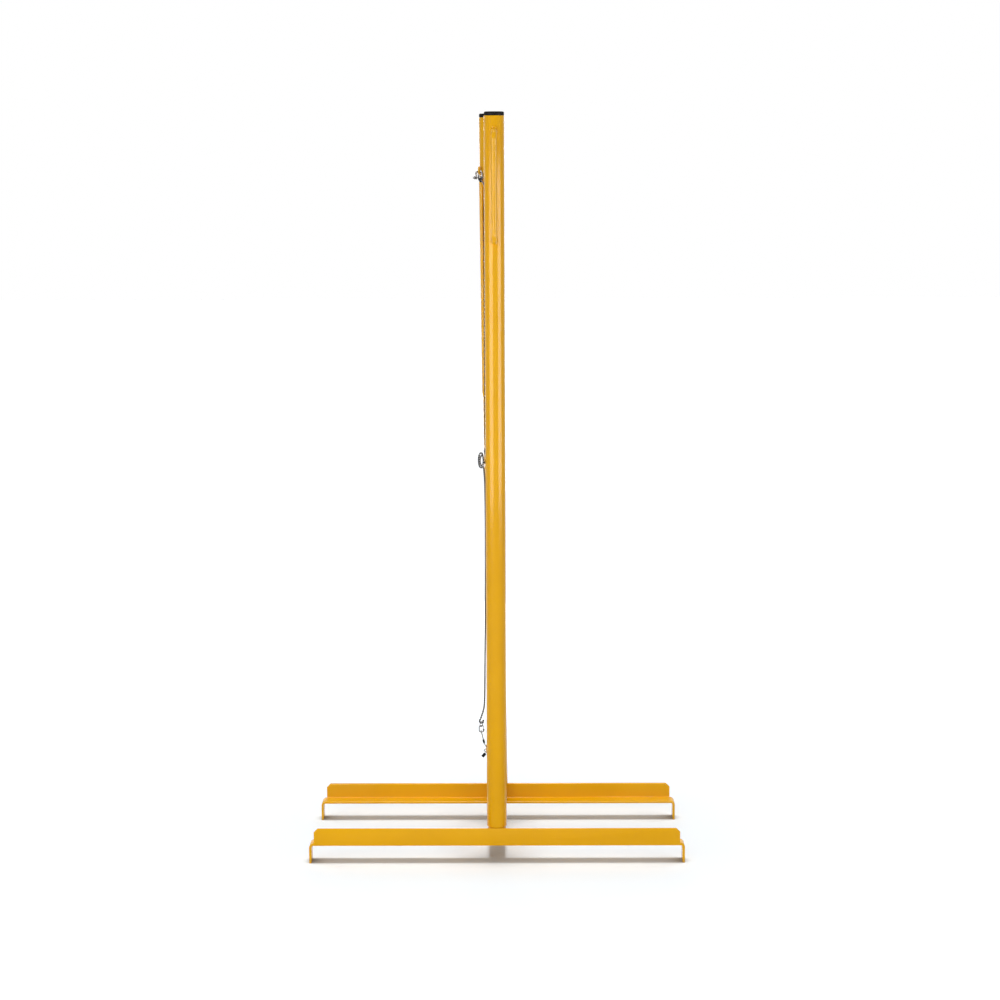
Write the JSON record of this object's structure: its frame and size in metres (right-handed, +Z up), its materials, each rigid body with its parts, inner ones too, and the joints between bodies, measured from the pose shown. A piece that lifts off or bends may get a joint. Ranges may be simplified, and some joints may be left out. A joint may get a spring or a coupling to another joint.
{
  "type": "volleyball net on poles",
  "caption": "Free-standing frame of upright round posts on bent angle feet, lift handles at the top and a hemmed square-mesh net strung between the posts.",
  "frame": {"origin": "on the floor, under the middle of the base", "axes": "+Z up, +X along the feet, -Y the front side that the picture shows"},
  "size_m": [0.85, 0.478, 1.68],
  "materials": {
    "yellow_paint": "semi-gloss powder coat",
    "cap_plastic": "moulded, satin",
    "sleeve_plastic": "shrunk sleeve, satin",
    "zinc": "bright zinc plate",
    "wire_rope": "laid strands, dull",
    "net_twine": "knotted twine",
    "net_tape": "woven tape",
    "cord": "twisted black and white cord"
  },
  "bodies": {
    "base": {"foot_front": "yellow_paint", "foot_rear": "yellow_paint", "base_tube": "yellow_paint", "spigot_front": "yellow_paint", "spigot_rear": "yellow_paint"},
    "front_upright": {"post_front": "yellow_paint", "cap_front": "cap_plastic", "handle_front": "yellow_paint", "staple_front_top": "yellow_paint", "staple_front_mid": "yellow_paint", "staple_front_low": "yellow_paint", "net_mesh": "net_twine", "head_tape": "net_tape", "foot_tape": "net_tape", "border_front": "cord", "border_rear": "cord", "head_cable": "wire_rope", "foot_cord": "cord", "ferrule_head_front": "sleeve_plastic", "ferrule_head_rear": "sleeve_plastic", "ferrule_foot_rear": "sleeve_plastic", "small_ring": "zinc", "tail_wire": "wire_rope", "ferrule_low": "sleeve_plastic", "stop_sleeve": "sleeve_plastic"},
    "rear_upright": {"post_rear": "yellow_paint", "cap_rear": "cap_plastic", "handle_rear": "yellow_paint", "hook_rod": "yellow_paint", "eye_ring": "yellow_paint", "staple_rear_mid": "yellow_paint"},
    "shackle": {"shackle_bow": "zinc"},
    "shackle_pin": {"wing_pin": "zinc"},
    "snap_link": {"snap_body": "zinc"},
    "gate": {"snap_gate": "zinc"}
  },
  "joints": [
    {"name": "front_lift", "type": "slide", "parent": "base", "child": "front_upright", "axis": [0, 0, 1], "range_m": [0, 0.1]},
    {"name": "rear_lift", "type": "slide", "parent": "base", "child": "rear_upright", "axis": [-0.0105, 0, 0.9999], "range_m": [0, 0.1]},
    {"name": "shackle_swing", "type": "hinge", "parent": "rear_upright", "child": "shackle", "pos_m": [-0.0384, 0.15477, 1.54344], "axis": [-0.0074, -0.7071, 0.7071], "range_deg": [-5, 5]},
    {"name": "pin_turn", "type": "hinge", "parent": "shackle", "child": "shackle_pin", "pos_m": [-0.03829, 0.14476, 1.53295], "axis": [0.9999, 0, 0.0105], "continuous": true},
    {"name": "link_swing", "type": "hinge", "parent": "front_upright", "child": "snap_link", "pos_m": [-0.0342, -0.166, 0.311], "axis": [0, 1, 0], "range_deg": [-6, 6]},
    {"name": "gate_open", "type": "hinge", "parent": "snap_link", "child": "gate", "pos_m": [-0.0292, -0.166, 0.3013], "axis": [0, 1, 0], "range_deg": [-30, 0], "stiffness_Nm_per_rad": 0.01}
  ],
  "couplings": [
    {"joint": "rear_lift", "follows": "front_lift", "ratio": 1}
  ]
}
